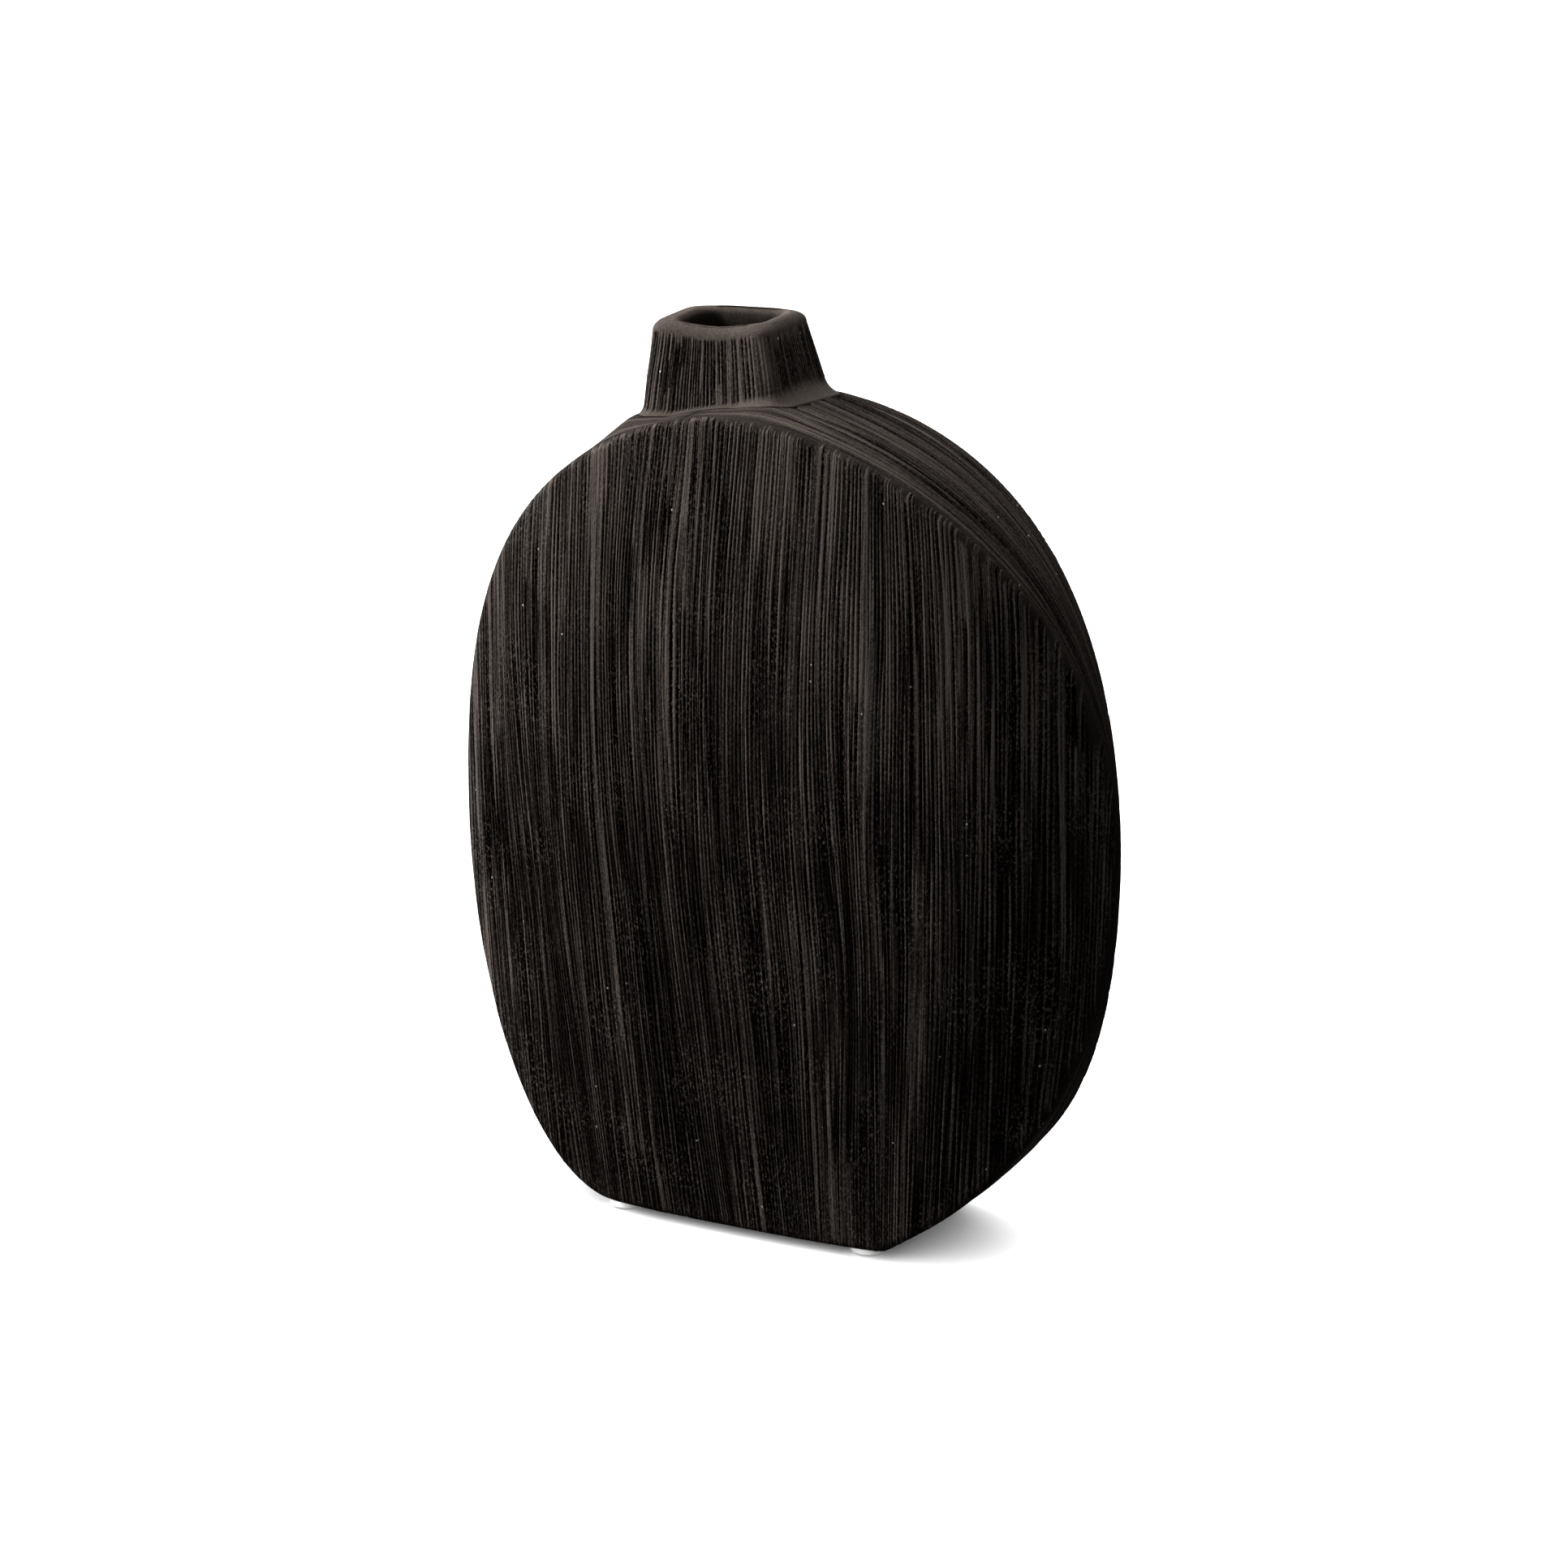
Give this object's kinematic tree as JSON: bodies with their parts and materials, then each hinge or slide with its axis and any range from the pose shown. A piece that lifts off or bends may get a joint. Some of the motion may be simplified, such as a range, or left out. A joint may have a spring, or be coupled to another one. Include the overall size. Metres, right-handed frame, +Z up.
{
  "type": "stoneware flask vase",
  "caption": "Flattened slab-built flask vase with bowed oval faces, side bands, a short square neck and small stick-on feet.",
  "frame": {"origin": "on the floor under the middle of the bounding box, at the undersides of the stick-on feet", "axes": "+Z up, width along X, front face toward -Y, the neck a little toward -X"},
  "size_m": [0.16, 0.0426, 0.2015],
  "materials": {
    "stoneware": "matte, unglazed, combed",
    "pad": "satin"
  },
  "bodies": {
    "root": {"base_slab": "stoneware", "front_slab": "stoneware", "back_slab": "stoneware", "left_band": "stoneware", "right_band": "stoneware", "neck": "stoneware", "pad_1": "pad", "pad_2": "pad", "pad_3": "pad", "pad_4": "pad"}
  },
  "joints": []
}
